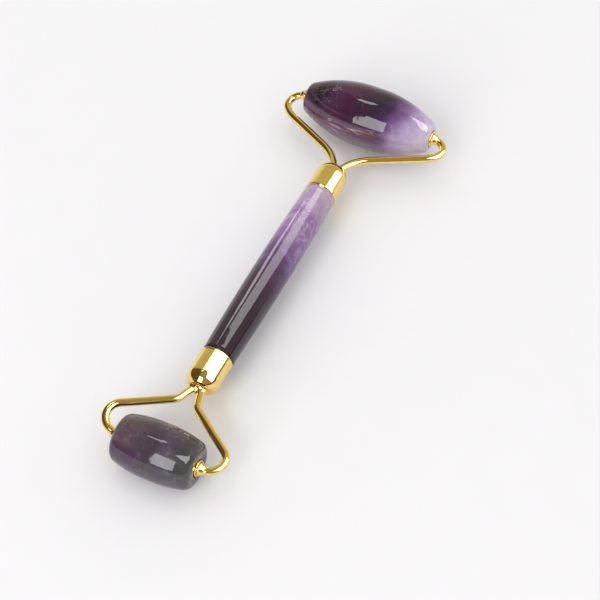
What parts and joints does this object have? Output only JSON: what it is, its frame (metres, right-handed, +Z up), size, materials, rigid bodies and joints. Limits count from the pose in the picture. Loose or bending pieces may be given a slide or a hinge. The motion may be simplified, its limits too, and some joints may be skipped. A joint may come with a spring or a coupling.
{
  "type": "crystal face roller",
  "caption": "Double-ended facial massage roller: a tapered stone grip with gilt ferrules and wire forks, each fork holding a free-turning polished stone barrel.",
  "frame": {"origin": "bottom centre of the outer box, on the surface the two barrels rest on", "axes": "+X along the grip from the small barrel to the large one, +Y along the barrels' axles, +Z up"},
  "size_m": [0.147, 0.052, 0.0184],
  "materials": {
    "amethyst": "gloss polished, purple with pale veins and dark inclusions",
    "gold_plate": "mirror polished gold plating",
    "resin": "cast clear-amber potting resin, hidden",
    "nylon": "natural nylon bearing sleeve"
  },
  "bodies": {
    "grip": {"handle": "amethyst", "large_ferrule": "gold_plate", "large_resin_plug": "resin", "large_braze_bead": "gold_plate", "large_left_arm": "gold_plate", "large_left_collar": "gold_plate", "large_right_arm": "gold_plate", "large_right_collar": "gold_plate", "small_ferrule": "gold_plate", "small_resin_plug": "resin", "small_braze_bead": "gold_plate", "small_left_arm": "gold_plate", "small_left_collar": "gold_plate", "small_right_arm": "gold_plate", "small_right_collar": "gold_plate"},
    "large_barrel": {"large_roller": "amethyst", "large_left_bush": "gold_plate", "large_left_sleeve": "nylon", "large_right_bush": "gold_plate", "large_right_sleeve": "nylon"},
    "small_barrel": {"small_roller": "amethyst", "small_left_bush": "gold_plate", "small_left_sleeve": "nylon", "small_right_bush": "gold_plate", "small_right_sleeve": "nylon"}
  },
  "joints": [
    {"name": "large_roller_spin", "type": "hinge", "parent": "grip", "child": "large_barrel", "pos_m": [0.0643, 0, 0.0092], "axis": [0, 1, 0], "continuous": true},
    {"name": "small_roller_spin", "type": "hinge", "parent": "grip", "child": "small_barrel", "pos_m": [-0.0657, 0, 0.0078], "axis": [0, 1, 0], "continuous": true}
  ]
}
